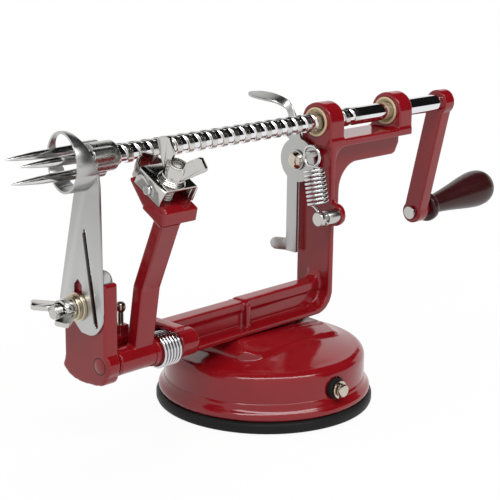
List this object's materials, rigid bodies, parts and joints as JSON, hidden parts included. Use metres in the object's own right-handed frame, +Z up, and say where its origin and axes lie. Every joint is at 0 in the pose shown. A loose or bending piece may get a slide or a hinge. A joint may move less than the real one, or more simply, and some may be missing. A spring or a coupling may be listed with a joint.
{
  "type": "hand-cranked apple peeler",
  "caption": "Hand-cranked apple peeler: fork on a lead screw, sprung peeling arm and corer-slicer blade on a cast frame with a suction base.",
  "frame": {"origin": "middle of the base on the table", "axes": "+X along the shaft from fork to crank, +Z up, +Y away from the peeling arm's side"},
  "size_m": [0.3633, 0.1146, 0.1515],
  "materials": {
    "red_enamel": "gloss red enamel on casting",
    "rubber": "matt black rubber",
    "chrome": "bright plating",
    "steel": "satin stainless steel",
    "cast_metal": "plated rough casting",
    "bronze": "dull tan metal",
    "wood": "dark stained, glossy lacquer"
  },
  "bodies": {
    "base": {"rubber_ring": "rubber", "base_shell": "red_enamel", "axle_bush": "rubber", "frame": "red_enamel", "frame_screws": "steel", "lever_rivet": "chrome", "lever_washer": "bronze", "lever_spring": "chrome", "spring_pin": "steel", "slicer_blade": "steel", "slicer_bolt": "steel", "slicer_washer": "bronze", "pivot_pin": "steel", "arm_spring": "chrome", "stop_screw": "chrome"},
    "bushes": {"front_bush": "bronze", "rear_bush": "bronze"},
    "shaft": {"lead_screw": "chrome", "fork_hub": "cast_metal", "fork_prongs": "chrome", "crank_arm": "red_enamel", "knob_spindle": "steel"},
    "handle": {"knob": "wood"},
    "lever": {"release_lever": "steel"},
    "arm": {"peel_arm": "red_enamel", "blade_clamp": "steel", "clamp_rivet": "chrome", "peel_blade": "steel", "clamp_bolt": "steel"},
    "clamp_nut": {"clamp_wing_nut": "steel"},
    "slicer_nut": {"slicer_wing_nut": "steel"},
    "suction": {"cam_axle": "chrome", "axle_clip": "steel", "suction_lever": "red_enamel"},
    "plunger": {"pull_stem": "steel", "rubber_disc": "rubber"}
  },
  "joints": [
    {"name": "shaft_spin", "type": "hinge", "parent": "base", "child": "bushes", "pos_m": [0, 0, 0.138], "axis": [1, 0, 0], "range_deg": [-1080, 4680]},
    {"name": "shaft_feed", "type": "slide", "parent": "bushes", "child": "shaft", "axis": [1, 0, 0], "range_m": [-0.0222, 0.0962]},
    {"name": "knob_spin", "type": "hinge", "parent": "shaft", "child": "handle", "pos_m": [0.137, 0.01423, 0.07273], "axis": [0.9969, 0, 0.0785], "continuous": true},
    {"name": "lever_turn", "type": "hinge", "parent": "base", "child": "lever", "pos_m": [0.0338, 0.0099, 0.1173], "axis": [1, 0, 0], "range_deg": [-14, 0], "stiffness_Nm_per_rad": 0.17, "springref_deg": 34.38, "deforming": ["lever_spring"]},
    {"name": "arm_swing", "type": "hinge", "parent": "base", "child": "arm", "pos_m": [-0.0935, -0.0102, 0.0464], "axis": [1, 0, 0], "range_deg": [0, 40], "stiffness_Nm_per_rad": 0.5, "springref_deg": -25.21},
    {"name": "clamp_nut_turn", "type": "hinge", "parent": "arm", "child": "clamp_nut", "pos_m": [-0.091, -0.03105, 0.13229], "axis": [0, -0.4848, 0.8746], "range_deg": [0, 90]},
    {"name": "slicer_nut_turn", "type": "hinge", "parent": "base", "child": "slicer_nut", "pos_m": [-0.12235, 0.002, 0.072], "axis": [1, 0, 0], "range_deg": [0, 90]},
    {"name": "suction_turn", "type": "hinge", "parent": "base", "child": "suction", "pos_m": [-0.003, 0, 0.018], "axis": [0, 1, 0], "range_deg": [-90, 0]},
    {"name": "disc_lift", "type": "slide", "parent": "base", "child": "plunger", "axis": [0, 0, 1], "range_m": [0, 0.0015]}
  ],
  "couplings": [
    {"joint": "shaft_feed", "follows": "shaft_spin", "m_per_rad": 0.0011777},
    {"joint": "suction_turn", "follows": "disc_lift", "rad_per_m": -1047.2}
  ]
}
